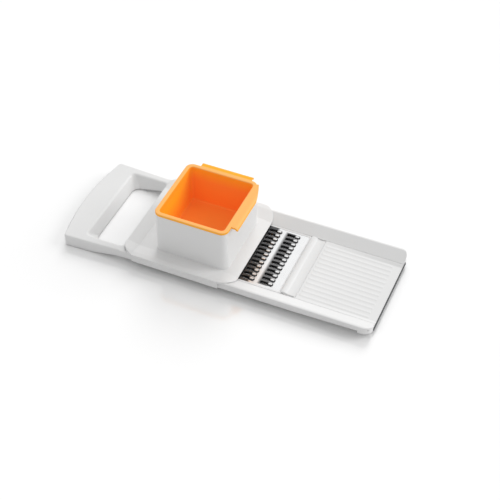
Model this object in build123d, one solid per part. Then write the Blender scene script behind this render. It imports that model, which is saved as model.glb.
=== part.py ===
# Mandoline slicer with a julienne plate, a sliding food carriage and a pusher cup.
# Lengths in millimetres. X runs from the handle to the ramp end, Y across, Z up.
# The origin is the middle of the footprint on the worktop.
import math
import os

from build123d import *

# Body: rails, wings and bed
body_length = 351.0
body_width = 122.0
rail_top = 14.0
rail_land = 2.4
rail_lip = 8.0
rail_round = 0.8
rail_end_corner = 9.0
lip_wall = 2.2
lip_round = 0.5
wing_run = 13.5
wing_sheet = 2.7
wing_foot_round = 6.0
bed_top = 8.0
bed_sheet = 2.0

# Handle loop
handle_flare = 2.8
handle_bulge = 8.0
handle_lift = 0.8
handle_corner = 3.5
handle_wall = 3.0
grip_depth = 29.0
grip_lean = 6.5
grip_pocket_inset = 18.0
finger_gap = 43.5
gap_corner = 4.0
gap_corner_growth = 5.0
gap_bed_lean = 2.0
arm_width = 8.8
arm_lean = 9.0
arm_pocket_foot = 1.5
arm_pocket_start = 12.0
arm_pocket_end = 5.0
belly_start = 2.0
belly_end = 8.0
soft_edge = 2.0
gap_soft_edge = 3.2

# Rows of pieces along the bed
landing_length = 121.5
insert_length = 53.0
bar_length = 17.0
insert_gap = 0.3
deck_gap = 0.1
ledge_sheet = 1.6
ledge_width = 3.5
ledge_bite = 2.0
ledge_root = 4.0
cross_beam_width = 6.0
cross_beam_depth = 2.6

# Ribs under the landing
rib_sheet = 1.8
rib_drop = 2.0
cross_rib_count = 3
long_rib_pitch = 24.0
rib_bite = 0.2

# Ramp end
ramp_drop = 1.5
end_strip_depth = 0.8
end_beam_width = 12.0
end_beam_inset = 11.5
lip_rise = 3.0
lip_rise_length = 95.0
post_low = 6.0
post_width = 8.0
post_length = 13.0
post_bite = 1.0
end_wall = 2.0

# Julienne plate
blade_sheet = 0.6
blade_sink = 0.2
blade_margin = 2.0
blade_end_margin = 1.0
blade_corner = 2.0
blade_side_land = 2.2
tooth_pitch = 6.2
tooth_radius = 3.3
tooth_sink = 1.6
tooth_wall = 0.5
tooth_length = 6.6
tooth_nose = 2.4
tooth_taper = 0.3
tooth_bite = 0.3
throat_width = 4.4
throat_front = 1.2
throat_back = 14.0
row_count = 2
row_step = 20.6
row_one_mouth = 21.3
window_margin = 0.5

# Step bar
ridge_width = 7.6
ridge_rise = 0.9
ridge_side = 0.4
groove_floor = 1.1
grip_slot_margin = 1.6
grip_slot_width = 2.6

# Ribbed ramp
ramp_sheet = 2.0
ramp_rib_pitch = 6.3
ramp_rib_width = 3.4
ramp_rib_height = 0.28
ramp_rib_start = 3.0
ramp_rib_end = 9.0
ramp_side_land = 6.5
ramp_rib_bite = 0.3
ramp_cove = 4.5

# Carriage
skirt_length = 127.0
skirt_setback = 1.5
skirt_corner = 18.0
skirt_left_slope = 14.0
skirt_left_rise = 3.0
skirt_left_wall = 2.2
skirt_right_slope = 14.5
skirt_drop = 2.6
skirt_sheet = 2.2
skirt_edge_sheet = 0.6
skirt_edge_bevel = 0.5
skirt_shoulder = 1.0
skirt_rim = 2.0
skirt_rim_inset = 3.0
wing_clearance = 0.6
teeth_clearance = 0.3
park_gap = 0.5
box_length = 80.0
box_width = 83.5
box_draft = 1.0
box_wall = 1.6
box_height = 49.4
box_corner = 7.0
box_shift = 9.0

# Runners
runner_wall = 2.1
runner_drop = 6.8
runner_gap = 0.3
runner_edge = 0.6
tongue_margin = 6.0
tongue_rise = 1.0

# Pusher cup
cup_clearance = 0.45
cup_wall = 1.5
cup_depth = 45.4
cup_floor = 2.4
cup_draft = 1.0
cup_floor_round = 2.2
rim_height = 2.6
rim_overhang = 1.0
rim_round = 0.8
rim_inner_round = 1.2
back_tab_length = 58.0
back_tab_shift = 2.5
side_tab_near = 29.5
side_tab_straight = 10.0
side_tab_far = 40.0
side_tab_fullness = 0.74
tab_reach = 7.2
tab_level = 3.6
tab_drop = 3.6
tab_sheet = 2.0
tab_sink = 0.3
tab_root = 1.5
spike_rows = 4
spike_length = 4.0
spike_radius = 1.4
spike_tip_radius = 0.35
spike_bite = 0.2

# Rubber
foot_height = 1.4
foot_length = 18.0
foot_width = 12.0
foot_corner = 4.0
foot_inset = 11.0
strip_sole = 1.0
strip_sole_depth = 12.0
strip_band = 2.8
strip_undercut = 3.0
strip_heel_rise = 0.4
strip_round = 0.3
strip_end_gap = 2.0

# How far a cutting shape passes the piece it cuts
over = 1.0
tall = 20.0

# Stations along X, measured from the tip of the handle
mid = body_length / 2.0
half = body_width / 2.0
gap_start = grip_depth
gap_end = gap_start + finger_gap
landing_end = gap_end + landing_length
insert_start = landing_end + insert_gap
insert_end = landing_end + insert_length
bar_start = insert_end
bar_end = bar_start + bar_length
ramp_start = bar_end
body_end = body_length - end_strip_depth
ramp_end = body_end - deck_gap
skirt_start = gap_end + skirt_setback
skirt_end = skirt_start + skirt_length
skirt_mid = (skirt_start + skirt_end) / 2.0
flat_start = skirt_start + skirt_left_slope
flat_end = skirt_end - skirt_right_slope
box_centre = skirt_mid + box_shift

# Levels and widths across
land_half = half - rail_land
flat_half = land_half - wing_run
insert_half = flat_half - insert_gap
deck_half = flat_half - deck_gap
ledge_inner = flat_half - ledge_width
wing_slope = (rail_top - bed_top) / wing_run
lip_bottom = rail_top - rail_lip
bed_under = bed_top - bed_sheet
blade_top = bed_top - blade_sink
blade_under = blade_top - blade_sheet
blade_start = insert_start + blade_margin
blade_end = insert_end - blade_end_margin
blade_half = insert_half - blade_margin
teeth_top = blade_top + tooth_radius - tooth_sink
skirt_under = teeth_top + teeth_clearance
skirt_flat_top = skirt_under + skirt_edge_sheet + skirt_drop
skirt_rail_top = rail_top + skirt_sheet
runner_inner = half + runner_gap
runner_outer = runner_inner + runner_wall
box_base = skirt_flat_top - skirt_sheet
box_top = skirt_flat_top + box_height
bore_length = box_length - 2.0 * box_wall
bore_width = box_width - 2.0 * box_wall
bore_corner = box_corner - box_wall

# Teeth and ribs fill the width that the bed leaves them
teeth_per_row = int((2.0 * (blade_half - blade_side_land - tooth_radius)) / tooth_pitch) + 1
ramp_rib_count = int((2.0 * (deck_half - ramp_side_land)) / ramp_rib_pitch) + 1
teeth_half = 0.5 * (teeth_per_row - 1) * tooth_pitch + tooth_radius


def along(station):
    return station - mid


def block(s0, s1, y0, y1, z0, z1):
    size = Box(s1 - s0, y1 - y0, z1 - z0)
    return Pos(along((s0 + s1) / 2.0), (y0 + y1) / 2.0, (z0 + z1) / 2.0) * size


def across(station):
    # The plane across the slicer at a station, with Y and Z as its axes.
    return Plane(origin=(along(station), 0, 0), x_dir=(0, 1, 0), z_dir=(1, 0, 0))


def polygon(points):
    return make_face(Polyline(*points, close=True))


def run_x(face, s0, s1):
    # Extrudes a Y-Z face along X.
    return extrude(across(s0) * face, amount=s1 - s0)


def run_y(face, y0, y1):
    # Extrudes an X-Z face across Y.
    plane = Plane(origin=(0, y1, 0), x_dir=(1, 0, 0), z_dir=(0, -1, 0))
    return extrude(plane * face, amount=y1 - y0)


def side_face(points):
    return polygon([(along(s), z) for s, z in points])


def mirrored(points):
    # Closes a half outline given for positive Y across the middle plane.
    return points + [(-y, z) for y, z in reversed(points) if y > 0.0]


def rounded(face, spots, radius):
    # Rounds the corners of a Y-Z face that lie on the given spots, on both sides.
    reach = 0.01
    picked = [v for v in face.vertices() if any(math.dist((abs(v.X), v.Y), p) < reach for p in spots)]
    return fillet(picked, radius)


def pillow(length, width, corner, z0, z1):
    # An upright block with rounded corners on the axis of the food box.
    face = Pos(along(box_centre), 0, z0) * RectangleRounded(length, width, corner)
    return extrude(face, amount=z1 - z0)


def taper(length, width, corner, z0, draft, z1):
    # The same block, narrowing by the draft on each side from z0 to z1.
    angle = math.degrees(math.atan(draft / abs(z1 - z0)))
    face = Pos(along(box_centre), 0, z0) * RectangleRounded(length, width, corner)
    return extrude(face, amount=abs(z1 - z0), dir=(0, 0, math.copysign(1.0, z1 - z0)), taper=angle)


def ramp_surface(station):
    share = (station - ramp_start) / (ramp_end - ramp_start)
    return bed_top - ramp_rib_height - ramp_drop * share


def ramp_under(station):
    return ramp_surface(station) - ramp_sheet


strip_low = ramp_surface(body_end) - strip_band


# Body frame
def plan_block(z0, z1):
    # The outline of the whole body seen from above, as a slab.
    left = half + handle_flare
    near = Polyline((along(body_end), -half), (along(gap_end), -half), (along(handle_bulge), -left))
    tip = ThreePointArc((along(handle_bulge), -left), (along(0), 0), (along(handle_bulge), left))
    far = Polyline((along(handle_bulge), left), (along(gap_end), half), (along(body_end), half))
    end = Line((along(body_end), half), (along(body_end), -half))
    solid = extrude(Pos(0, 0, z0) * make_face([near, tip, far, end]), amount=z1 - z0)
    solid = fillet(solid.edges().filter_by(Axis.Z).sort_by(Axis.X)[:2], handle_corner)
    return fillet(solid.edges().filter_by(Axis.Z).sort_by(Axis.X)[-2:], rail_end_corner)


def gap_slice(z):
    # Outline of the finger gap at a height; its walls lean inwards towards the worktop.
    depth = (rail_top - z) / rail_top
    s0 = gap_start + grip_lean * depth
    s1 = gap_end - gap_bed_lean * depth
    wide = 2.0 * (half + 0.5 * handle_flare - arm_width - arm_lean * depth)
    corner = gap_corner + gap_corner_growth * depth
    return Pos(along((s0 + s1) / 2.0), 0, z) * RectangleRounded(s1 - s0, wide, corner)


def gap_solid():
    return loft([gap_slice(-over), gap_slice(rail_top + over)])


def bed_face():
    # Cross section of bed, wings and rails.
    inner = half - lip_wall
    face = polygon(mirrored([
        (0.0, bed_under),
        (flat_half + ledge_bite, bed_under),
        (inner, rail_top - wing_sheet),
        (inner, lip_bottom),
        (half, lip_bottom),
        (half, rail_top),
        (land_half, rail_top),
        (flat_half, bed_top),
        (0.0, bed_top),
    ]))
    face = rounded(face, [(half, rail_top), (land_half, rail_top)], rail_round)
    face = rounded(face, [(half, lip_bottom), (inner, lip_bottom)], lip_round)
    return rounded(face, [(flat_half, bed_top)], wing_foot_round)


def trough_start():
    # The rounded start of the trough, a hair wider than the skirt that parks in it.
    start = skirt_start - park_gap
    hollow = block(start, body_end, -land_half, land_half, bed_under, rail_top + over)
    hollow -= run_x(bed_face(), start - over, body_end + over)
    hollow -= block(start, body_end, -land_half, land_half, bed_under, bed_top)
    length = body_end + tall - start
    centre = Pos(along(start + 0.5 * length), 0, 0)
    plan = RectangleRounded(length, 2.0 * (runner_outer + park_gap), skirt_corner + park_gap)
    return hollow & extrude(centre * plan, amount=rail_top + tall)


def handle_loop():
    loop_end = gap_end + skirt_corner + ledge_bite
    wide = half + tall
    loop = plan_block(handle_lift, rail_top) & block(-tall, loop_end, -wide, wide, 0.0, rail_top + over)
    loop -= gap_solid()
    loop = fillet(loop.faces().sort_by(Axis.Z)[-1].inner_wires()[0].edges(), gap_soft_edge)
    rim = loop.faces().sort_by(Axis.Z)[-1].outer_wire().edges()
    loop = fillet([e for e in rim if e.bounding_box().min.X < along(loop_end - over)], soft_edge)
    loop -= trough_start()
    # Hollow underside of the grip
    side = half - grip_pocket_inset
    front = handle_bulge + handle_wall
    back = gap_start - handle_wall
    pocket = make_face([
        ThreePointArc((along(front), -side), (along(handle_wall), 0), (along(front), side)),
        Polyline((along(front), side), (along(back), side), (along(back), -side), (along(front), -side)),
    ])
    loop -= extrude(Pos(0, 0, -over) * pocket, amount=rail_top - handle_wall + over)
    # Hollow undersides of both arms
    arm_inner = half - arm_width
    foot = arm_inner - arm_lean + handle_wall + arm_pocket_foot
    roof = rail_top - handle_wall
    for turn in (1, -1):
        outline = polygon([(turn * y, z) for y, z in (
            (foot, -over),
            (foot, arm_pocket_foot),
            (arm_inner + handle_wall, roof),
            (half - handle_wall, roof),
            (half - handle_wall, -over),
        )])
        loop -= run_x(outline, gap_start + arm_pocket_start, gap_end - arm_pocket_end)
    # The underside sweeps up from the handle to the rails
    s0 = along(gap_start + belly_start)
    s1 = along(gap_end + belly_end)
    s2 = along(loop_end + over)
    belly = make_face([
        Spline((s0, handle_lift), (s1, lip_bottom), tangents=((1, 0), (1, 0))),
        Polyline((s1, lip_bottom), (s2, lip_bottom), (s2, -over), (s0, -over), (s0, handle_lift)),
    ])
    return loop - run_y(belly, -wide, wide)


def ramp_end_beam():
    # The beam behind the end strip, and the corner posts that close the rails.
    start = body_end - end_beam_width
    face = side_face([
        (start, ramp_under(start)),
        (body_end, ramp_under(body_end)),
        (body_end, strip_low + strip_heel_rise),
        (body_end - strip_undercut, strip_sole),
        (start, strip_sole),
    ])
    beam = run_y(face, -half + end_beam_inset, half - end_beam_inset)
    ledge_low = ramp_under(body_end) - ledge_sheet
    post_high = lip_bottom + lip_rise + post_bite
    for y in (-half, half - post_width):
        beam += block(body_end - post_length, body_end, y, y + post_width, post_low, post_high)
    # A wall closes the hollow under each wing at the ramp end
    for side in (1, -1):
        wall = polygon([(side * y, z) for y, z in (
            (ledge_inner, ledge_low),
            (flat_half + ledge_bite, ledge_low),
            (half, post_low),
            (half, rail_top - wing_sheet + rib_bite),
            (half - lip_wall, rail_top - wing_sheet + rib_bite),
            (flat_half, bed_under + rib_bite),
            (flat_half, ramp_under(body_end)),
            (ledge_inner, ramp_under(body_end)),
        )])
        beam += run_x(wall, body_end - end_wall, body_end)
    return beam & plan_block(-over, rail_top + over)


def lip_wedge():
    # Cuts the rail lips back along the ramp, so that the rails thin out towards its end.
    start = body_end - lip_rise_length
    face = side_face([
        (start, lip_bottom),
        (body_end + over, lip_bottom + lip_rise),
        (body_end + over, -over),
        (start, -over),
    ])
    reach = half - lip_wall - over
    return run_y(face, reach, half + over) + run_y(face, -half - over, -reach)


def make_body():
    bed = run_x(bed_face(), gap_end - over, body_end + over) - lip_wedge()
    bed -= gap_solid()
    bed &= plan_block(-over, rail_top + over)
    bed -= block(landing_end, body_end + over, -flat_half, flat_half, -over, rail_top)
    body = handle_loop() + bed
    # Ledges that carry the insert, the bar and the ramp
    root = landing_end - ledge_root
    ledge = side_face([
        (root, bed_under),
        (ramp_start, bed_under),
        (ramp_start, ramp_under(ramp_start)),
        (body_end, ramp_under(body_end)),
        (body_end, max(ramp_under(body_end) - ledge_sheet, strip_sole)),
        (ramp_start, ramp_under(ramp_start) - ledge_sheet),
        (root, bed_under - ledge_sheet),
    ])
    body += run_y(ledge, ledge_inner, flat_half + ledge_bite)
    body += run_y(ledge, -flat_half - ledge_bite, -ledge_inner)
    # Cross beams under the start of the insert and under the bar
    for s in (landing_end, (bar_start + bar_end) / 2.0):
        s0 = s - 0.5 * cross_beam_width
        s1 = s + 0.5 * cross_beam_width
        body += block(s0, s1, -ledge_inner, ledge_inner, bed_under - cross_beam_depth, bed_under)
    body += ramp_end_beam()
    # Stiffening ribs under the landing
    low = lip_bottom - rib_drop
    high = bed_under + rib_bite
    for index in range(1, cross_rib_count + 1):
        s = gap_end + landing_length * index / (cross_rib_count + 1)
        wide = half - 0.5 * lip_wall
        body += block(s - 0.5 * rib_sheet, s + 0.5 * rib_sheet, -wide, wide, low, high)
    for y in (-long_rib_pitch, 0.0, long_rib_pitch):
        y0 = y - 0.5 * rib_sheet
        body += block(gap_end + ledge_root, landing_end, y0, y0 + rib_sheet, low, high)
    # Recesses for the rubber pieces
    for side in (1, -1):
        body -= foot_solid(side)
    return body - end_strip_solid()


def foot_solid(side):
    centre = Pos(along(handle_bulge + 0.5 * foot_length), side * (half - foot_inset), 0)
    return extrude(centre * RectangleRounded(foot_width, foot_length, foot_corner), amount=foot_height)


def end_strip_solid():
    top = ramp_surface(body_end)
    heel = body_end - strip_sole_depth
    face = side_face([
        (body_end, top),
        (body_length - strip_round, top),
        (body_length, top - strip_round),
        (body_length, strip_low),
        (body_length - strip_undercut, 0.0),
        (heel, 0.0),
        (heel, strip_sole),
        (body_end - strip_undercut, strip_sole),
        (body_end, strip_low + strip_heel_rise),
    ])
    reach = half - rail_end_corner - strip_end_gap
    return run_y(face, -reach, reach)


# Julienne insert
def row_mouths():
    return [insert_start + row_one_mouth + row * row_step for row in range(row_count)]


def tooth_spots():
    for mouth in row_mouths():
        for index in range(teeth_per_row):
            yield mouth, (index - 0.5 * (teeth_per_row - 1)) * tooth_pitch


def bullet(length, radius, nose):
    # A hood shape turned round X: open flat end at X = 0, blunt nose towards the handle.
    shoulder = length - nose
    waist = radius - tooth_taper
    return revolve(polygon([(0, 0), (0, radius), (-shoulder, waist), (-length, 0)]), Axis.X)


def tooth_hood():
    # One lanced tooth standing on Z = 0: a blunt hood whose cutting mouth faces the ramp.
    outer = bullet(tooth_length, tooth_radius, tooth_nose)
    inner = bullet(tooth_length - tooth_wall, tooth_radius - tooth_wall, tooth_nose)
    size = tooth_length + tooth_radius
    above = Pos(0, 0, 0.5 * size - tooth_bite) * Box(2.0 * size, size, size)
    return (Pos(0, 0, -tooth_sink) * (outer - inner)) & above


def plate_outline(z0, z1):
    # The plate's own outline as a slab; the carrier's seat is cut with the same one.
    centre = Pos(along((blade_start + blade_end) / 2.0), 0, z0)
    plan = RectangleRounded(blade_end - blade_start, 2.0 * blade_half, blade_corner)
    return extrude(centre * plan, amount=z1 - z0)


def make_blade():
    sheet = plate_outline(blade_under, blade_top)
    length = throat_front + throat_back
    slot = extrude(SlotOverall(length, throat_width), amount=2.0 * blade_sheet)
    slot = Pos(throat_front - 0.5 * length, 0, -1.5 * blade_sheet) * slot
    hood = tooth_hood()
    spots = [Pos(along(mouth), y, blade_top) for mouth, y in tooth_spots()]
    sheet -= [spot * slot for spot in spots]
    return sheet + [spot * hood for spot in spots]


def make_carrier():
    solid = block(insert_start, insert_end, -insert_half, insert_half, bed_under, bed_top)
    solid -= plate_outline(blade_under, bed_top + over)
    wide = teeth_half + window_margin
    for mouth in row_mouths():
        s0 = mouth - throat_back - window_margin
        s1 = mouth + throat_front + window_margin
        solid -= block(s0, s1, -wide, wide, 0.0, bed_top)
    return solid


def make_bar():
    ridge_end = bar_start + ridge_width
    groove_mid = (ridge_end + bar_end) / 2.0
    high = bed_top - ridge_side
    low = bed_under
    lead = bed_top - ramp_rib_height
    section = make_face([
        ThreePointArc(
            (along(bar_start), high),
            (along(bar_start + 0.5 * ridge_width), bed_top + ridge_rise),
            (along(ridge_end), high),
        ),
        ThreePointArc(
            (along(ridge_end), high),
            (along(groove_mid), low + groove_floor),
            (along(bar_end), lead),
        ),
        Polyline(
            (along(bar_end), lead),
            (along(bar_end), low),
            (along(bar_start), low),
            (along(bar_start), high),
        ),
    ])
    solid = run_y(section, -deck_half, deck_half)
    # Fingernail slot at the near end
    s0 = bar_start + grip_slot_margin
    s1 = bar_end - grip_slot_margin
    slot_end = grip_slot_width - deck_half
    return solid - block(s0, s1, -deck_half - over, slot_end, low - over, rail_top)


def make_ramp():
    slab = side_face([
        (ramp_start, ramp_under(ramp_start)),
        (ramp_end, ramp_under(ramp_end)),
        (ramp_end, ramp_surface(ramp_end)),
        (ramp_start, ramp_surface(ramp_start)),
    ])
    solid = run_y(slab, -deck_half, deck_half)
    s0 = ramp_start + ramp_rib_start
    s1 = ramp_end - ramp_rib_end
    base = ramp_surface(s0)
    rise = ramp_surface(s1) - base
    reach = math.hypot(s1 - s0, rise)
    foot = 0.5 * ramp_rib_width
    for index in range(ramp_rib_count):
        y = (index - 0.5 * (ramp_rib_count - 1)) * ramp_rib_pitch
        section = make_face([
            ThreePointArc((y - foot, base), (y, base + ramp_rib_height), (y + foot, base)),
            Polyline(
                (y + foot, base),
                (y + foot, base - ramp_rib_bite),
                (y - foot, base - ramp_rib_bite),
                (y - foot, base),
            ),
        ])
        solid += extrude(across(s0) * section, amount=reach, dir=(s1 - s0, 0, rise))
    for side in (1, -1):
        solid += ramp_flank(side)
    return solid


def ramp_flank(side):
    # The slope that leads from the sinking ramp up to the foot of a wing.
    ends = []
    for station in (ramp_start, ramp_end):
        level = ramp_surface(station)
        ends.append(across(station) * polygon([(side * y, z) for y, z in (
            (deck_half - ramp_cove, level - ramp_rib_bite),
            (deck_half, level - ramp_rib_bite),
            (deck_half, bed_top),
            (deck_half - ramp_cove, level),
        )]))
    return loft(ends, ruled=True)


# Carriage
def skirt_section(lift):
    # Cross section of the skirt, lifted from its level.
    top = skirt_rail_top + lift
    flat = skirt_flat_top + lift
    return polygon(mirrored([
        (0.0, lip_bottom),
        (runner_outer, lip_bottom),
        (runner_outer, top - skirt_edge_bevel),
        (runner_outer - skirt_edge_bevel, top),
        (land_half - skirt_shoulder, top),
        (flat_half - skirt_shoulder, flat),
        (0.0, flat),
    ]))


def skirt_slopes():
    # Towards the ramp the skirt curves down; towards the handle it curves up.
    down = []
    up = []
    for share in (0.0, 0.25, 0.5, 0.75, 1.0):
        drop = skirt_drop * share ** 2
        rise = skirt_left_rise * (1.0 - (1.0 - share) ** 2)
        down.append(across(flat_end + skirt_right_slope * share) * skirt_section(-drop))
        up.append(across(flat_start - skirt_left_slope * share) * skirt_section(rise))
    return loft(down) + loft(up)


def skirt_envelope():
    # Everything that the skirt has to stay above: rails, wings and teeth.
    head = land_half - wing_clearance / wing_slope
    foot = flat_half + (skirt_under - bed_top - wing_clearance) / wing_slope
    return polygon(mirrored([
        (0.0, -over),
        (half + tall, -over),
        (half + tall, rail_top),
        (head, rail_top),
        (foot, skirt_under),
        (0.0, skirt_under),
    ]))


def make_carriage():
    skirt = run_x(skirt_section(0.0), flat_start, flat_end)
    skirt += skirt_slopes()
    skirt -= run_x(skirt_envelope(), skirt_start - over, skirt_end + over)
    plan = RectangleRounded(skirt_length, 2.0 * runner_outer, skirt_corner)
    skirt &= extrude(Pos(along(skirt_mid), 0, 0) * plan, amount=rail_top + tall)
    # The middle is thinned from below, which leaves a rim
    inner = flat_half - skirt_rim_inset
    hollow = side_face([
        (skirt_start + skirt_left_wall, 0.0),
        (skirt_start + skirt_left_wall, box_base + skirt_left_rise),
        (flat_start, box_base),
        (flat_end - skirt_rim, box_base),
        (flat_end - skirt_rim, 0.0),
    ])
    skirt -= run_y(hollow, -inner, inner)
    solid = skirt + taper(
        box_length + 2.0 * box_draft, box_width + 2.0 * box_draft, box_corner + box_draft,
        box_base, box_draft, box_top,
    )
    solid -= pillow(bore_length, bore_width, bore_corner, 0.0, box_top + over)
    # Grooves for the runner tongues
    for side in (1, -1):
        solid -= runner_tongue(side)
    return solid


def runner_tongue(side):
    y0, y1 = sorted((side * (runner_inner + runner_edge), side * (runner_outer - runner_edge)))
    s0 = flat_start + tongue_margin
    s1 = flat_end - tongue_margin
    return block(s0, s1, y0, y1, rail_top - tongue_rise, rail_top + tongue_rise)


def make_runner(side):
    low = rail_top - runner_drop
    section = polygon([(side * y, z) for y, z in (
        (runner_inner, rail_top),
        (runner_inner, low + runner_edge),
        (runner_inner + runner_edge, low),
        (runner_outer, low),
        (runner_outer, rail_top),
    )])
    return run_x(section, flat_start, flat_end) + runner_tongue(side)


# Pusher
def make_cup():
    length = bore_length - 2.0 * cup_clearance
    width = bore_width - 2.0 * cup_clearance
    low = box_top - cup_depth
    high = box_top + rim_height
    shell = taper(length, width, bore_corner, box_top, cup_draft, low)
    rim_length = box_length + 2.0 * rim_overhang
    rim_width = box_width + 2.0 * rim_overhang
    rim = pillow(rim_length, rim_width, box_corner + rim_overhang, box_top, high)
    solid = shell + fillet(rim.faces().sort_by(Axis.Z)[-1].edges(), rim_round)
    # The hollow, rounded at its floor and at its mouth
    hollow = taper(
        length - 2.0 * cup_wall, width - 2.0 * cup_wall, bore_corner - cup_wall,
        high, cup_draft, low + cup_floor,
    )
    solid -= fillet(hollow.faces().sort_by(Axis.Z)[0].edges(), cup_floor_round)
    mouth = solid.faces().sort_by(Axis.Z)[-1].inner_wires()[0]
    solid = fillet(mouth.edges(), rim_inner_round)
    # Finger tabs at the back and at the ramp side
    middle = Pos(along(box_centre), 0, 0)
    back = run_y(tab_face(0.5 * rim_width), -0.5 * back_tab_length, 0.5 * back_tab_length)
    solid += middle * Pos(back_tab_shift, 0, 0) * Rot(0, 0, 90) * back
    solid += middle * side_tab(0.5 * rim_length)
    # Spikes under the floor that hold the food
    spike = Cone(spike_tip_radius, spike_radius, spike_length + spike_bite)
    z = low + 0.5 * (spike_bite - spike_length)
    for i in range(spike_rows):
        for j in range(spike_rows):
            x = (i - 0.5 * (spike_rows - 1)) * length / (spike_rows + 1.0)
            y = (j - 0.5 * (spike_rows - 1)) * width / (spike_rows + 1.0)
            solid += Pos(along(box_centre) + x, y, z) * spike
    return solid


def tab_face(edge):
    # Section of a finger tab: it leaves the rim level and curls down at its outer edge.
    top = box_top + rim_height - tab_sink
    run = tab_reach - tab_level
    bend = (run ** 2 + tab_drop ** 2) / (2.0 * tab_drop)
    turn = math.asin(run / bend)

    def curl(radius, share):
        angle = turn * share
        return edge + tab_level + radius * math.sin(angle), top - bend + radius * math.cos(angle)

    inner = bend - tab_sheet
    return make_face([
        ThreePointArc(curl(bend, 0.0), curl(bend, 0.5), curl(bend, 1.0)),
        Line(curl(bend, 1.0), curl(inner, 1.0)),
        ThreePointArc(curl(inner, 1.0), curl(inner, 0.5), curl(inner, 0.0)),
        Polyline(
            curl(inner, 0.0),
            (edge - tab_root, top - tab_sheet),
            (edge - tab_root, top),
            curl(bend, 0.0),
        ),
    ])


def side_tab(edge):
    # The tab at the ramp side runs out in a curve towards the far corner.
    tab = run_y(tab_face(edge), -side_tab_near, side_tab_far)
    inside = edge - tab_root - over
    outside = edge + tab_reach + over
    tip = (edge, side_tab_far + over)
    bend = (edge + side_tab_fullness * tab_reach, 0.5 * (side_tab_straight + side_tab_far))
    plan = make_face([
        ThreePointArc((outside, side_tab_straight), bend, tip),
        Polyline(
            tip,
            (inside, side_tab_far + over),
            (inside, -side_tab_near - over),
            (outside, -side_tab_near - over),
            (outside, side_tab_straight),
        ),
    ])
    return tab & extrude(plan, amount=box_top + tall)


os.makedirs("parts", exist_ok=True)
export_step(make_body(), "parts/body_frame.step")
export_step(make_ramp(), "parts/ramp_deck.step")
export_step(make_bar(), "parts/step_bar.step")
export_step(make_carrier(), "parts/blade_carrier.step")
export_step(make_blade(), "parts/julienne_blade.step")
export_step(end_strip_solid(), "parts/end_strip.step")
export_step(foot_solid(-1), "parts/handle_foot_near.step")
export_step(foot_solid(1), "parts/handle_foot_far.step")
export_step(make_carriage(), "parts/carriage.step")
export_step(make_runner(-1), "parts/runner_near.step")
export_step(make_runner(1), "parts/runner_far.step")
export_step(make_cup(), "parts/pusher_cup.step")
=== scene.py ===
"""Finishes, floor, light and camera for the mandoline slicer."""
import math

import bmesh
import bpy
from bpy.props import FloatProperty, FloatVectorProperty, IntProperty, PointerProperty
from mathutils import Matrix, Vector


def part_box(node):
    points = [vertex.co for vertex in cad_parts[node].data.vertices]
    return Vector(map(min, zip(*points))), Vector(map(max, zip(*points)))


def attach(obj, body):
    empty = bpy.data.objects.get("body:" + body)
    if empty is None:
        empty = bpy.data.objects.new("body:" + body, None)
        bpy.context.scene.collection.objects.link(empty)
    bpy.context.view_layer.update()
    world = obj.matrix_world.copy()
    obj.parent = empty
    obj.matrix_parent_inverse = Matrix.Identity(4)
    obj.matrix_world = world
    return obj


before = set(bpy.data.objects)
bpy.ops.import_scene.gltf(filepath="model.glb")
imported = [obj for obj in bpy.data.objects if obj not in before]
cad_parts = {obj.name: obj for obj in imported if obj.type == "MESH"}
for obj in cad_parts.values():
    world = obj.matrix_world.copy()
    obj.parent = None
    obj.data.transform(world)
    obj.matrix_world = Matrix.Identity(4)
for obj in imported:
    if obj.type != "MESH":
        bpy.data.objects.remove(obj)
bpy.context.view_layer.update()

bl_info = {
    "name": "Mandoline Slicer",
    "version": (1, 0, 0),
    "blender": (4, 5, 0),
    "location": "3D View > Sidebar > Slicer",
    "description": "Gives a mandoline slicer its plastics, steel and rubber, and sets its stage",
    "category": "Object",
}

MILLIMETRE = 0.001
SENSOR_WIDTH = 36.0

# Sizes of the marks in moulded plastic
CLOUD_SIZE = 70 * MILLIMETRE
RUB_SIZE = 1.6 * MILLIMETRE
PORE_SIZE = 0.45 * MILLIMETRE

# How many times longer the rub marks are along each axis
EVEN_RUBS = (1.0, 1.0, 1.0)
BODY_RUBS = (18.0, 1.0, 1.0)
DECK_RUBS = (24.0, 1.0, 1.0)
RUNNER_RUBS = (30.0, 1.0, 1.0)

# Shades of moulded plastic, as shares of its own colour
CLOUD_SHADE = 0.965
RUB_SHADE = 0.93
# Painted highlight: edges are drawn lighter, as if they catch the light
EDGE_HIGHLIGHT = 1.035

# Changes of moulded plastic's roughness
CLOUD_ROUGHNESS = 0.04
RUB_ROUGHNESS = (-0.03, 0.07)
EDGE_POLISH = 0.06
DECK_GLOSS = 0.04
CARRIAGE_GLOSS = 0.06
RUNNER_DULLNESS = 0.12

# Radii that edges seem to have
MOULDED_EDGE = 0.7 * MILLIMETRE
RIBBED_EDGE = 1.4 * MILLIMETRE
CUP_EDGE = 0.4 * MILLIMETRE
SHEET_EDGE = 0.12 * MILLIMETRE
RUBBER_EDGE = 0.3 * MILLIMETRE

# Marks on rolled steel
ROLLED_SIZE = 0.35 * MILLIMETRE
ROLLED_DEPTH = 0.006 * MILLIMETRE
ROLLED_STRETCH = (1.0, 40.0, 1.0)
STAIN_SIZE = 18 * MILLIMETRE

# Marks on rubber
DUST_SIZE = 6 * MILLIMETRE
RUBBER_PORE_SIZE = 0.3 * MILLIMETRE
RUBBER_PORE_DEPTH = 0.05 * MILLIMETRE

# Cosines between which a surface comes to face an axis; for the teeth's tops they are squared
ROUNDED_EDGE = (0.86, 0.995)
FACES_RAMP = (0.6, 0.95)
FACES_UP = (0.2, 0.7)
TOOTH_TOP = (0.83, 0.93)

# Shares of the painted light on the cup's wall that faces the ramp's end, left at the back of the cup and
# at its floor
PAINTED_LIGHT_AT_BACK = 0.1
PAINTED_LIGHT_AT_FLOOR = 0.3


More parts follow.
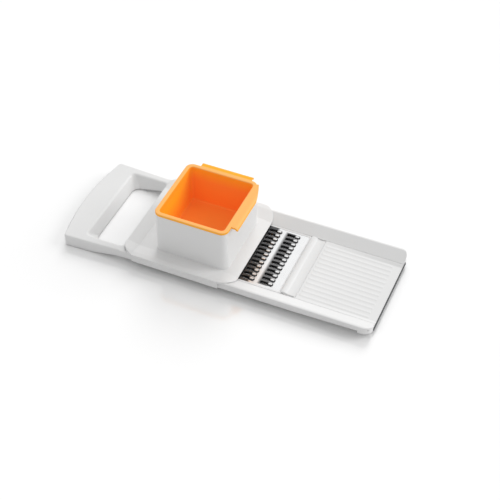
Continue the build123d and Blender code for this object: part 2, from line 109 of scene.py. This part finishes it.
class Finish:
    """A material in the making: one Principled shader and the nodes that feed it."""

    def __init__(self, name):
        self.material = bpy.data.materials.new(name)
        self.material.use_nodes = True
        self.tree = self.material.node_tree
        self.tree.nodes.clear()
        output = self.add("ShaderNodeOutputMaterial")
        self.shader = self.add("ShaderNodeBsdfPrincipled")
        self.link(self.shader.outputs["BSDF"], output.inputs["Surface"])
        self.coords = self.add("ShaderNodeTexCoord").outputs["Object"]

    def add(self, kind, **settings):
        node = self.tree.nodes.new(kind)
        for key, value in settings.items():
            setattr(node, key, value)
        return node

    def link(self, source, target):
        self.tree.links.new(source, target)

    def fix(self, **values):
        """Sets plain values on the shader's own sockets."""
        for key, value in values.items():
            self.shader.inputs[key.replace("_", " ")].default_value = value

    def feed(self, socket, source):
        self.link(source, self.shader.inputs[socket])

    def noise(self, size, detail=2.0, stretch=(1.0, 1.0, 1.0)):
        """Noise whose marks are about the given size; stretch makes them longer along an axis."""
        mapping = self.add("ShaderNodeMapping")
        mapping.inputs["Scale"].default_value = [1.0 / part for part in stretch]
        self.link(self.coords, mapping.inputs["Vector"])
        node = self.add("ShaderNodeTexNoise")
        node.inputs["Scale"].default_value = 1.0 / size
        node.inputs["Detail"].default_value = detail
        self.link(mapping.outputs["Vector"], node.inputs["Vector"])
        return node.outputs["Fac"]

    def span(self, source, low, high, start=0.25, end=0.75):
        """Spreads a value from start..end to low..high."""
        node = self.add("ShaderNodeMapRange", clamp=True)
        self.link(source, node.inputs["Value"])
        limits = {"From Min": start, "From Max": end, "To Min": low, "To Max": high}
        for socket, value in limits.items():
            node.inputs[socket].default_value = value
        return node.outputs["Result"]

    def combine(self, operation, first, second):
        """Adds, subtracts or multiplies two values."""
        node = self.add("ShaderNodeMath", operation=operation)
        self.link(first, node.inputs[0])
        self.link(second, node.inputs[1])
        return node.outputs["Value"]

    def mix(self, share, first, second):
        """Mixes two colours; each is a plain colour or another node's output."""
        node = self.add("ShaderNodeMix", data_type="RGBA")
        self.link(share, node.inputs["Factor"])
        for socket, colour in ((node.inputs[6], first), (node.inputs[7], second)):
            if isinstance(colour, bpy.types.NodeSocket):
                self.link(colour, socket)
            else:
                socket.default_value = (*colour, 1.0)
        return node.outputs[2]

    def soft_edge(self, width):
        """The surface normal, rounded over edges, and a mask that is 1 on edges and 0 on flats."""
        bevel = self.add("ShaderNodeBevel", samples=4)
        bevel.inputs["Radius"].default_value = width
        plain = self.add("ShaderNodeNewGeometry")
        along = self.add("ShaderNodeVectorMath", operation="DOT_PRODUCT")
        self.link(bevel.outputs["Normal"], along.inputs[0])
        self.link(plain.outputs["Normal"], along.inputs[1])
        mask = self.span(along.outputs["Value"], 1.0, 0.0, *ROUNDED_EDGE)
        return bevel.outputs["Normal"], mask

    def facing(self, axis):
        """How far the surface faces along an axis: 1 towards it, 0 across it."""
        parts = self.add("ShaderNodeSeparateXYZ")
        self.link(self.add("ShaderNodeTexCoord").outputs["Normal"], parts.inputs["Vector"])
        return parts.outputs[axis]

    def place(self, axis):
        """Place along an axis, in metres, with the piece at rest."""
        parts = self.add("ShaderNodeSeparateXYZ")
        self.link(self.coords, parts.inputs["Vector"])
        return parts.outputs[axis]

    def window(self, source, low, high, fade):
        """1 where a value lies from low to high, and 0 outside, with soft ends."""
        rise = self.span(source, 0.0, 1.0, low - fade, low)
        fall = self.span(source, 1.0, 0.0, high, high + fade)
        return self.combine("MULTIPLY", rise, fall)

    def bump(self, height, depth, strength, normal):
        node = self.add("ShaderNodeBump")
        node.inputs["Strength"].default_value = strength
        node.inputs["Distance"].default_value = depth
        self.link(height, node.inputs["Height"])
        self.link(normal, node.inputs["Normal"])
        return node.outputs["Normal"]


def scaled(colour, factor):
    return tuple(min(1.0, part * factor) for part in colour)


def dress(nodes, material):
    """Gives the named nodes of the frame a material."""
    for name in nodes:
        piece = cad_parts[name]
        if not piece.material_slots:
            piece.data.materials.append(material)
        for slot in piece.material_slots:
            slot.material = material


def moulded_plastic(name, colour, roughness, grain, rubs=EVEN_RUBS, edge_radius=MOULDED_EDGE, tint=None):
    """Injection-moulded plastic: slow shade changes, fine grain, rub marks, polished edges, and a painted
    highlight that lightens the edges.

    rubs is the stretch of the rub marks, and tint a function that changes the shade.
    """
    finish = Finish(name)
    clouds = finish.noise(CLOUD_SIZE, 3.0)
    marks = finish.noise(RUB_SIZE, 4.0, rubs)
    pores = finish.noise(PORE_SIZE, 2.0)
    normal, edge = finish.soft_edge(edge_radius)
    shade = finish.mix(finish.span(clouds, 0.0, 1.0), scaled(colour, CLOUD_SHADE), colour)
    shade = finish.mix(finish.span(marks, 0.0, 0.35, 0.6, 0.8), shade, scaled(colour, RUB_SHADE))
    if tint:
        shade = tint(finish, shade)
    # Painted highlight: the edges are drawn lighter than the plastic
    shade = finish.mix(finish.span(edge, 0.0, 0.6, 0.0, 1.0), shade, scaled(colour, EDGE_HIGHLIGHT))
    finish.feed("Base Color", shade)
    rough = finish.span(clouds, roughness - CLOUD_ROUGHNESS, roughness + CLOUD_ROUGHNESS)
    rough = finish.combine("ADD", rough, finish.span(marks, *RUB_ROUGHNESS))
    polish = finish.span(edge, 0.0, EDGE_POLISH, 0.0, 1.0)
    finish.feed("Roughness", finish.combine("SUBTRACT", rough, polish))
    finish.feed("Normal", finish.bump(pores, grain, 0.35, normal))
    finish.fix(IOR=1.5)
    return finish


class SlicerFinishes(bpy.types.PropertyGroup):
    """Colours and gloss of the slicer's pieces."""

    white: FloatVectorProperty(
        name="White plastic", description="Colour of the body, the carriage and the insert",
        subtype="COLOR", size=3, min=0.0, max=1.0, default=(0.83, 0.83, 0.827))
    runner: FloatVectorProperty(
        name="Runner plastic", description="Colour of the low-friction runners",
        subtype="COLOR", size=3, min=0.0, max=1.0, default=(0.82, 0.82, 0.815))
    orange: FloatVectorProperty(
        name="Pusher plastic", description="Colour of the pusher cup",
        subtype="COLOR", size=3, min=0.0, max=1.0, default=(1.0, 0.36, 0.06))
    # Painted highlight: the top of the rim is drawn peach, as if it catches the light
    orange_crest_highlight: FloatVectorProperty(
        name="Pusher crest", description="Colour of the top of the pusher cup's rim",
        subtype="COLOR", size=3, min=0.0, max=1.0, default=(1.0, 0.52, 0.16))
    # Painted light: the cup's wall that faces the ramp's end is drawn amber, as if lit by the side light
    orange_painted_wall_light: FloatVectorProperty(
        name="Pusher lit wall", description="Colour of the cup's wall that faces the ramp's end",
        subtype="COLOR", size=3, min=0.0, max=1.0, default=(0.95, 0.56, 0.01))
    # Painted light: the rim and tabs are drawn lighter amber, standing in for light that shines through
    # them
    orange_rim_light: FloatVectorProperty(
        name="Pusher rim", description="Colour of the cup's thin rim and tabs, where light shines through",
        subtype="COLOR", size=3, min=0.0, max=1.0, default=(1.0, 0.46, 0.03))
    # The two lengths below set where the painted rim light begins and where it is full
    rim_light_depth: FloatProperty(
        name="Rim depth", description="How far down the walls the rim's lighter colour fades",
        unit="LENGTH", subtype="DISTANCE", default=0.016)
    tab_rise: FloatProperty(
        name="Rim level", description="How far below the cup's top the rim's own colour is full",
        unit="LENGTH", subtype="DISTANCE", default=0.004)
    tab_reach: FloatProperty(
        name="Tab reach", description="How far the tab at the back stands out",
        unit="LENGTH", subtype="DISTANCE", default=0.006)
    tab_fade: FloatProperty(
        name="Tab fade", description="Over what length the crest turns to the back tab's colour",
        unit="LENGTH", subtype="DISTANCE", precision=5, default=0.0012)
    painted_wall_light_share: FloatProperty(
        name="Lit wall share", description="Share of the lit wall's own colour",
        subtype="FACTOR", min=0.0, max=1.0, default=1.0)
    # Painted glow: the cup gives out light of its own, though it is no lamp
    orange_painted_glow: FloatVectorProperty(
        name="Pusher glow", description="Colour of the light that the bright pigment gives back",
        subtype="COLOR", size=3, min=0.0, max=1.0, default=(1.0, 0.20, 0.06))
    painted_glow_strength: FloatProperty(
        name="Glow strength", description="How strongly the pusher's pigment gives back light",
        min=0.0, max=1.0, default=0.07)
    steel: FloatVectorProperty(
        name="Steel", description="Colour of the julienne plate",
        subtype="COLOR", size=3, min=0.0, max=1.0, default=(0.93, 0.935, 0.94))
    # Painted shade: steep faces of the teeth and slots are drawn near black, standing in for shade and
    # dark reflection on them
    painted_flank_shade: FloatVectorProperty(
        name="Lanced steel", description="Colour of the teeth's steep flanks, dull from the punch",
        subtype="COLOR", size=3, min=0.0, max=1.0, default=(0.05, 0.05, 0.052))
    rubber: FloatVectorProperty(
        name="Rubber", description="Colour of the end strip and the feet",
        subtype="COLOR", size=3, min=0.0, max=1.0, default=(0.055, 0.057, 0.06))
    gloss: FloatProperty(
        name="Plastic roughness", description="Roughness of the white mouldings",
        subtype="FACTOR", min=0.0, max=1.0, default=0.38)
    cup_gloss: FloatProperty(
        name="Pusher roughness", description="Roughness of the pusher cup",
        subtype="FACTOR", min=0.0, max=1.0, default=0.38)
    cup_shine: FloatProperty(
        name="Pusher shine", description="Strength of the pusher cup's reflections",
        subtype="FACTOR", min=0.0, max=1.0, default=0.16)
    grain: FloatProperty(
        name="Grain depth", description="Depth of the fine grain in the mouldings",
        unit="LENGTH", subtype="DISTANCE", precision=6, min=0.0, max=0.001, default=0.00003)


class SlicerPlate(bpy.types.PropertyGroup):
    """Sizes of the slots in the julienne plate, as they are punched."""

    rows: IntProperty(name="Rows", description="Rows of teeth", min=1, default=2)
    teeth: IntProperty(name="Teeth", description="Teeth in a row", min=1, default=13)
    tooth_pitch: FloatProperty(
        name="Tooth pitch", description="Distance between the teeth of a row",
        unit="LENGTH", subtype="DISTANCE", precision=5, default=0.0062)
    row_step: FloatProperty(
        name="Row step", description="Distance between the rows",
        unit="LENGTH", subtype="DISTANCE", precision=5, default=0.0206)
    first_slot: FloatProperty(
        name="First slot", description="From the plate's edge to the right end of the first slots",
        unit="LENGTH", subtype="DISTANCE", precision=5, default=0.0205)
    slot_length: FloatProperty(
        name="Slot length", description="Length of a slot",
        unit="LENGTH", subtype="DISTANCE", precision=5, default=0.0152)
    slot_width: FloatProperty(
        name="Slot width", description="Width of a slot",
        unit="LENGTH", subtype="DISTANCE", precision=5, default=0.0044)
    tooth_length: FloatProperty(
        name="Tooth length", description="Length of the raised tooth at the right end of a slot",
        unit="LENGTH", subtype="DISTANCE", precision=5, default=0.0066)
    # Painted shade: the bars between the slots and the strip before the first row are drawn dark; the
    # fades and colours below shape it
    bar_fade: FloatProperty(
        name="Bar fade", description="Over what length the dull bars turn bright",
        unit="LENGTH", subtype="DISTANCE", precision=5, default=0.0026)
    side_fade: FloatProperty(
        name="Side fade", description="Over what width the dull bars end beside the last tooth",
        unit="LENGTH", subtype="DISTANCE", precision=5, default=0.00052)
    first_bar_shade: FloatVectorProperty(
        name="First bars", description="Colour of the first row's dull bars and of the strip before it",
        subtype="COLOR", size=3, min=0.0, max=1.0, default=(0.11, 0.11, 0.112))
    later_bar_shade: FloatVectorProperty(
        name="Later bars", description="Colour of the dull bars in the rows behind",
        subtype="COLOR", size=3, min=0.0, max=1.0, default=(0.20, 0.20, 0.202))
    # The lips below are dark walls hung under the slots, standing in for the shade there
    lip_depth: FloatProperty(
        name="Lip depth", description="How far a slot's edge is drawn down",
        unit="LENGTH", subtype="DISTANCE", precision=5, default=0.0030)
    lip_bite: FloatProperty(
        name="Lip bite", description="How far a lip reaches up into the plate",
        unit="LENGTH", subtype="DISTANCE", precision=5, default=0.0003)
    lip_wall: FloatProperty(
        name="Lip wall", description="Thickness of a lip",
        unit="LENGTH", subtype="DISTANCE", precision=5, default=0.0003)
    lip_sides: IntProperty(name="Lip sides", description="Facets round a slot", min=8, default=20)


class SlicerStage(bpy.types.PropertyGroup):
    """Floor, light and camera."""

    floor_size: FloatProperty(
        name="Floor size", description="Length of the square floor's side",
        unit="LENGTH", subtype="DISTANCE", min=1.0, default=12.0)
    floor_shade: FloatVectorProperty(
        name="Floor", description="Colour of the floor",
        subtype="COLOR", size=3, min=0.0, max=1.0, default=(0.80, 0.80, 0.80))
    floor_seen: FloatVectorProperty(
        name="Floor as seen", description="Colour of the floor for the camera, which reaches white",
        subtype="COLOR", size=3, min=0.0, max=2.0, default=(1.12, 1.12, 1.12))
    floor_polish: FloatProperty(
        name="Floor polish", description="Share of the floor's light that is a mirror image",
        subtype="FACTOR", min=0.0, max=1.0, default=0.22)
    floor_blur: FloatProperty(
        name="Floor blur", description="Roughness of the floor's mirror image",
        subtype="FACTOR", min=0.0, max=1.0, default=0.12)
    key_strength: FloatProperty(
        name="Back light", description="Strength of the soft light behind the slicer",
        min=0.0, default=1.06)
    key_spread: FloatProperty(
        name="Back softness", description="Angle that the back light fills in the sky",
        subtype="ANGLE", min=0.0, max=math.pi, default=math.radians(30.0))
    key_from: FloatVectorProperty(
        name="Back direction", description="Direction from the slicer to the back light",
        subtype="DIRECTION", size=3, default=(-0.142, 0.806, 0.574))
    side_strength: FloatProperty(
        name="Side light", description="Strength of the broad light at the ramp side",
        min=0.0, default=1.17)
    side_spread: FloatProperty(
        name="Side softness", description="Angle that the side light fills in the sky",
        subtype="ANGLE", min=0.0, max=math.pi, default=math.radians(40.0))
    side_from: FloatVectorProperty(
        name="Side direction", description="Direction from the slicer to the side light",
        subtype="DIRECTION", size=3, default=(0.765, 0.441, 0.469))
    sky_fill: FloatProperty(
        name="Fill light", description="Strength of the even light from all around",
        min=0.0, default=0.6)
    camera_place: FloatVectorProperty(
        name="Camera place", description="Where the camera stands",
        unit="LENGTH", subtype="TRANSLATION", size=3, default=(0.37644, -0.81605, 0.90278))
    camera_turn: FloatProperty(
        name="Camera azimuth", description="Turn of the camera about the vertical",
        subtype="ANGLE", default=math.radians(23.6088))
    camera_tilt: FloatProperty(
        name="Camera elevation", description="How far the camera looks down",
        subtype="ANGLE", default=math.radians(45.1290))
    camera_lens: FloatProperty(
        name="Lens", description="Focal length of the camera",
        unit="CAMERA", min=1.0, default=86.4)


class SLICER_OT_body(bpy.types.Operator):
    """Give the body its white plastic, with faint rub marks along the rails"""

    bl_idname = "slicer.body"
    bl_label = "Finish body"

    def execute(self, context):
        look = context.scene.slicer_finishes
        finish = moulded_plastic("white_body", look.white, look.gloss, look.grain, BODY_RUBS)
        dress(["body_frame"], finish.material)
        return {"FINISHED"}


class SLICER_OT_deck(bpy.types.Operator):
    """Give the ramp and the step bar their white plastic"""

    bl_idname = "slicer.deck"
    bl_label = "Finish ramp and bar"

    def execute(self, context):
        look = context.scene.slicer_finishes
        gloss = look.gloss - DECK_GLOSS
        finish = moulded_plastic("white_deck", look.white, gloss, look.grain, DECK_RUBS, RIBBED_EDGE)
        dress(["ramp_deck", "step_bar", "blade_carrier"], finish.material)
        return {"FINISHED"}


class SLICER_OT_carriage(bpy.types.Operator):
    """Give the carriage its white plastic"""

    bl_idname = "slicer.carriage"
    bl_label = "Finish carriage"

    def execute(self, context):
        look = context.scene.slicer_finishes
        finish = moulded_plastic("white_carriage", look.white, look.gloss - CARRIAGE_GLOSS, look.grain)
        dress(["carriage"], finish.material)
        return {"FINISHED"}


class SLICER_OT_runners(bpy.types.Operator):
    """Give the runners their low-friction plastic"""

    bl_idname = "slicer.runners"
    bl_label = "Finish runners"

    def execute(self, context):
        look = context.scene.slicer_finishes
        gloss = look.gloss + RUNNER_DULLNESS
        finish = moulded_plastic("slick_runner", look.runner, gloss, look.grain, RUNNER_RUBS)
        dress(["runner_near", "runner_far"], finish.material)
        return {"FINISHED"}


class SLICER_OT_cup(bpy.types.Operator):
    """Give the pusher cup its orange plastic, with a painted glow, and painted light on its rim, its crest
    and one wall
    """

    bl_idname = "slicer.cup"
    bl_label = "Finish pusher cup"

    def execute(self, context):
        look = context.scene.slicer_finishes
        finish = moulded_plastic(
            "orange_cup", look.orange, look.cup_gloss, look.grain, edge_radius=CUP_EDGE,
            tint=lambda finish, shade: self.paint_cup_light(finish, shade, look))
        # Painted glow over the whole cup
        finish.fix(Emission_Color=(*look.orange_painted_glow, 1.0), Emission_Strength=look.painted_glow_strength)
        finish.fix(Specular_IOR_Level=look.cup_shine)
        dress(["pusher_cup"], finish.material)
        return {"FINISHED"}

    def paint_cup_light(self, finish, shade, look):
        """Paints light on the plastic: on the wall that faces the ramp's end, at the rim and on top of it.
        """
        (_, near, floor), (_, back, top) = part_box("pusher_cup")
        across, height = finish.place("Y"), finish.place("Z")
        # Painted light on the wall that faces the ramp's end, fading towards the back and the floor
        wall = finish.span(finish.facing("X"), 0.0, look.painted_wall_light_share, *FACES_RAMP)
        fades = (
            finish.span(across, 1.0, PAINTED_LIGHT_AT_BACK, 0.5 * (near + back), back),
            finish.span(height, PAINTED_LIGHT_AT_FLOOR, 1.0, floor, top),
        )
        for fade in fades:
            wall = finish.combine("MULTIPLY", wall, fade)
        shade = finish.mix(wall, shade, look.orange_painted_wall_light)
        # Painted light towards the top of the walls, standing in for light through the thin rim
        rim = finish.span(height, 0.0, 1.0, top - look.rim_light_depth, top - look.tab_rise)
        shade = finish.mix(rim, shade, look.orange_rim_light)
        # Painted highlight on the up-facing top of the rim, stopping before the back tab
        crest = finish.combine("MULTIPLY", rim, finish.span(finish.facing("Z"), 0.0, 1.0, *FACES_UP))
        tab_root = back - look.tab_reach
        before_tab = finish.span(across, 1.0, 0.0, tab_root - look.tab_fade, tab_root)
        return finish.mix(finish.combine("MULTIPLY", crest, before_tab), shade, look.orange_crest_highlight)


class SLICER_OT_blade(bpy.types.Operator):
    """Give the julienne plate its bright rolled steel"""

    bl_idname = "slicer.blade"
    bl_label = "Finish julienne plate"

    def execute(self, context):
        look = context.scene.slicer_finishes
        finish = Finish("bright_steel")
        rolled = finish.noise(ROLLED_SIZE, 3.0, ROLLED_STRETCH)
        stains = finish.noise(STAIN_SIZE, 3.0)
        normal, edge = finish.soft_edge(SHEET_EDGE)
        shade = finish.mix(finish.span(stains, 0.0, 1.0), scaled(look.steel, 0.93), look.steel)
        # Painted highlight: the plate's edges are drawn brighter than the steel
        shade = finish.mix(finish.span(edge, 0.0, 0.7, 0.0, 1.0), shade, scaled(look.steel, 1.12))
        shade = self.paint_bar_shade(finish, context.scene.slicer_plate, shade)
        # Painted shade: every steep face of the steel is drawn near black
        level = finish.facing("Z")
        flank = finish.span(finish.combine("MULTIPLY", level, level), 1.0, 0.0, *TOOTH_TOP)
        shade = finish.mix(flank, shade, look.painted_flank_shade)
        finish.feed("Base Color", shade)
        rough = finish.combine("ADD", finish.span(rolled, 0.2, 0.3), finish.span(stains, 0.0, 0.06))
        finish.feed("Roughness", rough)
        finish.feed("Normal", finish.bump(rolled, ROLLED_DEPTH, 0.3, normal))
        finish.fix(Metallic=1.0)
        dress(["julienne_blade"], finish.material)
        self.hang_shade_lips(context, context.scene.slicer_plate, finish.material)
        return {"FINISHED"}

    def paint_bar_shade(self, finish, plate, shade):
        """Darkens the bars between the slots and the strip before them: painted shade, not a dull finish.
        """
        low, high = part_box("julienne_blade")
        along, across = finish.place("X"), finish.place("Y")
        for row in range(plate.rows):
            right = low[0] + plate.first_slot + row * plate.row_step
            if row:
                left, reach = right - plate.slot_length, 0.5 * plate.teeth * plate.tooth_pitch
                colour = plate.later_bar_shade
            else:
                left, reach = low[0], high[1]
                colour = plate.first_bar_shade
            length = finish.window(along, left, right - plate.tooth_length, plate.bar_fade)
            width = finish.window(across, -reach, reach, plate.side_fade)
            shade = finish.mix(finish.combine("MULTIPLY", length, width), shade, colour)
        return shade

    def hang_shade_lips(self, context, plate, material):
        """Adds walls that hang down from the slots' edges; their steep faces take the near-black flank
        colour, a dark sheet that stands in for the shade inside the slots.
        """
        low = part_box("julienne_blade")[0]
        shape = bmesh.new()
        for row in range(plate.rows):
            right = low[0] + plate.first_slot + row * plate.row_step
            for index in range(plate.teeth):
                across = (index - 0.5 * (plate.teeth - 1)) * plate.tooth_pitch
                middle = right - 0.5 * plate.slot_length
                self.add_shade_lip(shape, plate, Vector((middle, across, low[2] + plate.lip_bite)))
        bmesh.ops.recalc_face_normals(shape, faces=shape.faces[:])
        bmesh.ops.solidify(shape, geom=shape.faces[:], thickness=plate.lip_wall)
        mesh = bpy.data.meshes.new("slot_shade_lips")
        shape.to_mesh(mesh)
        shape.free()
        mesh.materials.append(material)
        lips = bpy.data.objects.new("slot_shade_lips", mesh)
        context.scene.collection.objects.link(lips)
        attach(lips, "frame")

    def add_shade_lip(self, shape, plate, place):
        """Adds one slot-shaped wall that hangs down from the plate."""
        sides = plate.lip_sides
        radius = 0.5 * plate.slot_width
        stretch = 0.5 * plate.slot_length - radius
        turned = Matrix.Translation(place) @ Matrix.Rotation(math.pi / sides, 4, "Z")
        ring = bmesh.ops.create_circle(shape, segments=sides, radius=radius, matrix=turned)["verts"]
        for vert in ring:
            vert.co.x += math.copysign(stretch, vert.co.x - place.x)
        edges = list({edge for vert in ring for edge in vert.link_edges})
        wall = bmesh.ops.extrude_edge_only(shape, edges=edges)["geom"]
        lower = [part for part in wall if isinstance(part, bmesh.types.BMVert)]
        bmesh.ops.translate(shape, verts=lower, vec=(0.0, 0.0, -plate.lip_depth))


class SLICER_OT_rubber(bpy.types.Operator):
    """Give the end strip and the handle feet their dark rubber"""

    bl_idname = "slicer.rubber"
    bl_label = "Finish rubber"

    def execute(self, context):
        look = context.scene.slicer_finishes
        finish = Finish("dark_rubber")
        dust = finish.noise(DUST_SIZE, 4.0)
        pores = finish.noise(RUBBER_PORE_SIZE, 2.0)
        normal, edge = finish.soft_edge(RUBBER_EDGE)
        shade = finish.mix(finish.span(dust, 0.0, 0.5), look.rubber, scaled(look.rubber, 1.7))
        # Painted highlight: the rubber's edges are drawn lighter, as if they catch the light
        shade = finish.mix(finish.span(edge, 0.0, 0.4, 0.0, 1.0), shade, scaled(look.rubber, 2.6))
        finish.feed("Base Color", shade)
        finish.feed("Roughness", finish.span(dust, 0.62, 0.82))
        finish.feed("Normal", finish.bump(pores, RUBBER_PORE_DEPTH, 0.5, normal))
        dress(["end_strip", "handle_foot_near", "handle_foot_far"], finish.material)
        return {"FINISHED"}


def seen_rays(tree):
    """1 for rays that see a thing, also in a mirror or through glass, and 0 for light that falls on it."""
    path = tree.nodes.new("ShaderNodeLightPath")
    value = path.outputs["Is Camera Ray"]
    for name in ("Is Glossy Ray", "Is Transmission Ray"):
        node = tree.nodes.new("ShaderNodeMath")
        node.operation = "MAXIMUM"
        tree.links.new(value, node.inputs[0])
        tree.links.new(path.outputs[name], node.inputs[1])
        value = node.outputs["Value"]
    return value


class SLICER_OT_stage(bpy.types.Operator):
    """Make the floor, the light and the camera"""

    bl_idname = "slicer.stage"
    bl_label = "Set stage"

    def execute(self, context):
        stage = context.scene.slicer_stage
        self.make_floor(context, stage)
        self.make_light(context, stage)
        self.make_camera(context, stage)
        context.scene.view_settings.view_transform = "Standard"
        return {"FINISHED"}

    def make_floor(self, context, stage):
        shape = bmesh.new()
        bmesh.ops.create_grid(shape, x_segments=1, y_segments=1, size=0.5 * stage.floor_size)
        mesh = bpy.data.meshes.new("floor")
        shape.to_mesh(mesh)
        shape.free()
        floor = bpy.data.objects.new("floor", mesh)
        context.scene.collection.objects.link(floor)
        material = bpy.data.materials.new("pale_floor")
        material.use_nodes = True
        tree = material.node_tree
        tree.nodes.clear()
        output = tree.nodes.new("ShaderNodeOutputMaterial")
        matt = tree.nodes.new("ShaderNodeBsdfDiffuse")
        mirror = tree.nodes.new("ShaderNodeBsdfGlossy")
        mirror.inputs["Roughness"].default_value = stage.floor_blur
        layers = tree.nodes.new("ShaderNodeMixShader")
        choose = tree.nodes.new("ShaderNodeMix")
        choose.data_type = "RGBA"
        choose.inputs[6].default_value = (*stage.floor_shade, 1.0)
        choose.inputs[7].default_value = (*stage.floor_seen, 1.0)
        seen = seen_rays(tree)
        polish = tree.nodes.new("ShaderNodeMath")
        polish.operation = "MULTIPLY"
        polish.inputs[1].default_value = stage.floor_polish
        tree.links.new(seen, polish.inputs[0])
        tree.links.new(seen, choose.inputs["Factor"])
        tree.links.new(choose.outputs[2], matt.inputs["Color"])
        tree.links.new(polish.outputs["Value"], layers.inputs["Fac"])
        tree.links.new(matt.outputs["BSDF"], layers.inputs[1])
        tree.links.new(mirror.outputs["BSDF"], layers.inputs[2])
        tree.links.new(layers.outputs["Shader"], output.inputs["Surface"])
        mesh.materials.append(material)

    def add_lamp(self, context, name, strength, spread, direction):
        lamp = bpy.data.lights.new(name, "SUN")
        lamp.energy = strength
        lamp.angle = spread
        holder = bpy.data.objects.new(name, lamp)
        holder.rotation_euler = Vector(direction).to_track_quat("Z", "Y").to_euler()
        context.scene.collection.objects.link(holder)

    def make_light(self, context, stage):
        lamps = {
            "back_light": (stage.key_strength, stage.key_spread, stage.key_from),
            "side_light": (stage.side_strength, stage.side_spread, stage.side_from),
        }
        for name, (strength, spread, direction) in lamps.items():
            self.add_lamp(context, name, strength, spread, direction)
        # The back lamp stands near the direction that floor and steel mirror to the camera
        bpy.data.objects["back_light"].visible_glossy = False
        world = bpy.data.worlds.new("studio")
        context.scene.world = world
        world.use_nodes = True
        tree = world.node_tree
        tree.nodes.clear()
        output = tree.nodes.new("ShaderNodeOutputWorld")
        sky = tree.nodes.new("ShaderNodeBackground")
        choose = tree.nodes.new("ShaderNodeMix")
        choose.inputs["A"].default_value = stage.sky_fill
        choose.inputs["B"].default_value = 1.0
        tree.links.new(seen_rays(tree), choose.inputs["Factor"])
        tree.links.new(choose.outputs["Result"], sky.inputs["Strength"])
        tree.links.new(sky.outputs["Background"], output.inputs["Surface"])
        sky.inputs["Color"].default_value = (1.0, 1.0, 1.0, 1.0)

    def make_camera(self, context, stage):
        view = bpy.data.cameras.new("photo_camera")
        view.sensor_fit = "HORIZONTAL"
        view.sensor_width = SENSOR_WIDTH
        view.lens = stage.camera_lens
        camera = bpy.data.objects.new("photo_camera", view)
        camera.location = stage.camera_place
        camera.rotation_euler = (0.5 * math.pi - stage.camera_tilt, 0.0, stage.camera_turn)
        context.scene.collection.objects.link(camera)
        context.scene.camera = camera


class SLICER_PT_panel(bpy.types.Panel):
    """Lists the slicer's pieces and the settings of its finishes and stage"""

    bl_idname = "SLICER_PT_panel"
    bl_label = "Mandoline Slicer"
    bl_space_type = "VIEW_3D"
    bl_region_type = "UI"
    bl_category = "Slicer"

    def draw(self, context):
        for operator in STEPS:
            self.layout.operator(operator.bl_idname)
        scene = context.scene
        for group in (scene.slicer_finishes, scene.slicer_plate, scene.slicer_stage):
            box = self.layout.box()
            for key in group.__annotations__:
                box.prop(group, key)


STEPS = (
    SLICER_OT_body,
    SLICER_OT_deck,
    SLICER_OT_blade,
    SLICER_OT_rubber,
    SLICER_OT_carriage,
    SLICER_OT_runners,
    SLICER_OT_cup,
    SLICER_OT_stage,
)
CLASSES = (SlicerFinishes, SlicerPlate, SlicerStage, *STEPS, SLICER_PT_panel)


def register():
    for cls in CLASSES:
        bpy.utils.register_class(cls)
    bpy.types.Scene.slicer_finishes = PointerProperty(type=SlicerFinishes)
    bpy.types.Scene.slicer_plate = PointerProperty(type=SlicerPlate)
    bpy.types.Scene.slicer_stage = PointerProperty(type=SlicerStage)


def unregister():
    del bpy.types.Scene.slicer_stage
    del bpy.types.Scene.slicer_plate
    del bpy.types.Scene.slicer_finishes
    for cls in reversed(CLASSES):
        bpy.utils.unregister_class(cls)


def main():
    register()
    for operator in STEPS:
        group, name = operator.bl_idname.split(".")
        getattr(getattr(bpy.ops, group), name)()


if __name__ == "__main__":
    main()
